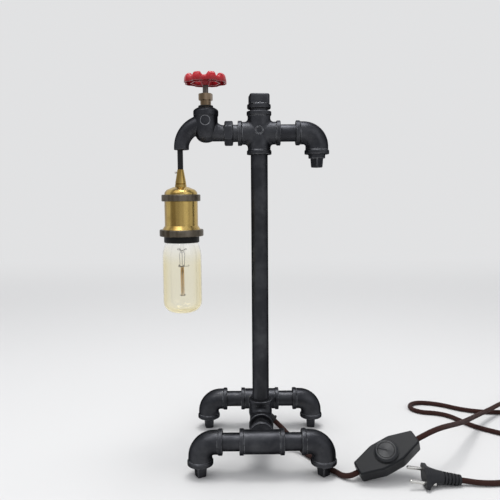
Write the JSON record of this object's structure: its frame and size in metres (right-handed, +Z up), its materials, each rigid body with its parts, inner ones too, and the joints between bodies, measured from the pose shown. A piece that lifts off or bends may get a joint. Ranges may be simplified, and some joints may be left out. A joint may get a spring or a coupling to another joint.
{
  "type": "pipe table lamp",
  "caption": "Table lamp made of black pipe fittings: a square pipe foot, an upright, a tap with a red handwheel and a bulb holder hanging from its spout; brown corded dimmer and plug.",
  "frame": {"origin": "on the table, under the middle of the lamp without its loose cord", "axes": "+X to the right, towards the plugged arm and away from the hanging bulb; +Y to the rear; +Z up along the upright"},
  "size_m": [0.5953, 0.3128, 0.4801],
  "materials": {
    "black_iron": "satin black",
    "aged_brass": "aged, satin",
    "fibre": "matt",
    "red_paint": "gloss, worn on the edges",
    "plated_steel": "nickel plated",
    "dark_plastic": "semi-gloss black",
    "black_rubber": "matt black",
    "brown_fabric": "braided brown",
    "board": "matt",
    "amber_glass": "clear amber",
    "clear_glass": "clear",
    "filament": "dull"
  },
  "bodies": {
    "stand": {"bonnet_gasket": "fibre", "centre_tee": "black_iron", "cord_coil": "brown_fabric", "cord_grommet": "black_rubber", "cord_lamp_end": "brown_fabric", "cord_long": "brown_fabric", "cord_plug_end": "brown_fabric", "dimmer_base": "dark_plastic", "dimmer_board": "board", "dimmer_cover": "dark_plastic", "front_left_elbow": "black_iron", "front_left_foot_plug": "black_iron", "front_left_nipple": "black_iron", "front_link_nipple": "black_iron", "front_right_elbow": "black_iron", "front_right_foot_plug": "black_iron", "front_right_nipple": "black_iron", "front_tee": "black_iron", "gland_nut": "aged_brass", "gland_packing": "fibre", "head_cross": "black_iron", "lamp_lead": "black_rubber", "plug_body": "dark_plastic", "plug_pins": "plated_steel", "rear_left_elbow": "black_iron", "rear_left_foot_plug": "black_iron", "rear_left_nipple": "black_iron", "rear_link_nipple": "black_iron", "rear_right_elbow": "black_iron", "rear_right_foot_plug": "black_iron", "rear_right_nipple": "black_iron", "rear_tee": "black_iron", "right_arm_elbow": "black_iron", "right_arm_nipple": "black_iron", "right_arm_plug": "black_iron", "tap_body": "black_iron", "tap_bonnet": "aged_brass", "top_plug": "black_iron", "upright_pipe": "black_iron"},
    "valve": {"valve_jumper": "black_iron"},
    "stem": {"tap_stem": "black_iron", "handwheel": "red_paint", "handwheel_screw": "plated_steel"},
    "knuckle": {"lead_knuckle": "black_rubber"},
    "pendant": {"lead_drop": "black_rubber", "cord_grip": "aged_brass", "grip_screw": "aged_brass", "holder_cap": "aged_brass", "upper_shade_ring": "dark_plastic", "holder_shell": "aged_brass", "lower_shade_ring": "dark_plastic", "holder_insert": "dark_plastic", "screw_shell": "plated_steel", "centre_contact": "plated_steel"},
    "bulb_screw": {"bulb_contact": "plated_steel"},
    "bulb": {"bulb_cap": "plated_steel", "bulb_glass": "amber_glass", "bulb_mount": "clear_glass", "bulb_filament": "filament"},
    "knob": {"dimmer_knob": "dark_plastic"}
  },
  "joints": [
    {"name": "valve_lift", "type": "slide", "parent": "stand", "child": "valve", "axis": [0, 0, 1], "range_m": [0, 0.006]},
    {"name": "handwheel_turn", "type": "hinge", "parent": "valve", "child": "stem", "pos_m": [-0.0479, 0, 0.43], "axis": [0, 0, 1], "range_deg": [0, 1080]},
    {"name": "pendant_swing_sideways", "type": "hinge", "parent": "stand", "child": "knuckle", "pos_m": [-0.0807, 0, 0.3924], "axis": [0, 1, 0], "range_deg": [-15, 15]},
    {"name": "pendant_swing_forwards", "type": "hinge", "parent": "knuckle", "child": "pendant", "pos_m": [-0.0807, 0, 0.3924], "axis": [1, 0, 0], "range_deg": [-15, 15]},
    {"name": "bulb_travel", "type": "slide", "parent": "pendant", "child": "bulb_screw", "axis": [0, 0, -1], "range_m": [0, 0.0182]},
    {"name": "bulb_turn", "type": "hinge", "parent": "bulb_screw", "child": "bulb", "pos_m": [-0.0807, 0, 0.23], "axis": [0, 0, -1], "range_deg": [0, 1800]},
    {"name": "dimmer_turn", "type": "hinge", "parent": "stand", "child": "knob", "pos_m": [0.1636, -0.0835, 0.0279], "axis": [-0.2645, -0.5824, 0.7687], "range_deg": [0, 270]}
  ],
  "couplings": [
    {"joint": "valve_lift", "follows": "handwheel_turn", "m_per_rad": 0.0003183},
    {"joint": "bulb_travel", "follows": "bulb_turn", "m_per_rad": 0.0005777}
  ]
}
